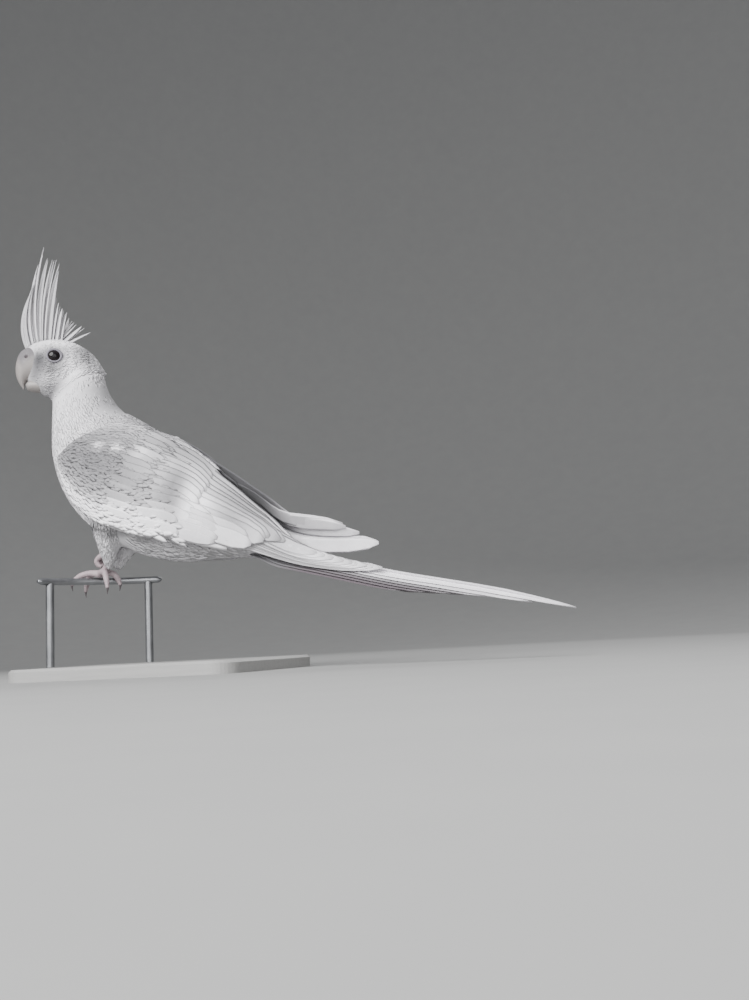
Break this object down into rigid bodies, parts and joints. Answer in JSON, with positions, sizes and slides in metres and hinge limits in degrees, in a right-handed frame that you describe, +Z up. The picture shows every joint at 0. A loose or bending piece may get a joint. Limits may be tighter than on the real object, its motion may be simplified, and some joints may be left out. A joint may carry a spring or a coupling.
{
  "type": "cockatiel model on a wire perch with a display stand",
  "caption": "Still, life-size pale cockatiel with raised crest and folded wings, gripping a short wire perch on a plain flat display stand.",
  "frame": {"origin": "the middle of the stand base's flat underside", "axes": "+Z up; the bird faces -X and its tail points to +X; its left side faces -Y"},
  "size_m": [0.2774, 0.092, 0.226],
  "materials": {
    "feather_white": "soft, matt white to pale grey feathers",
    "feather_grey": "soft, matt mid-grey feathers with pale edges",
    "bill": "smooth horn with a low sheen",
    "eye": "wet and glossy, near black",
    "foot_skin": "finely scaled skin, matt",
    "wire": "dull bare steel wire",
    "stand_wood": "dark satin wood"
  },
  "bodies": {
    "root": {"head": "feather_white", "neck": "feather_white", "torso": "feather_white", "bill_upper": "bill", "bill_lower": "bill", "eye_left": "eye", "eye_right": "eye", "crest": "feather_white", "wing_left": "feather_white", "wing_right": "feather_grey", "tail": "feather_grey", "leg_left": "feather_white", "leg_right": "feather_white", "foot_left": "foot_skin", "foot_right": "foot_skin", "perch_wire": "wire", "stand_rod_front": "wire", "stand_rod_rear": "wire", "stand_base": "stand_wood"}
  },
  "joints": []
}
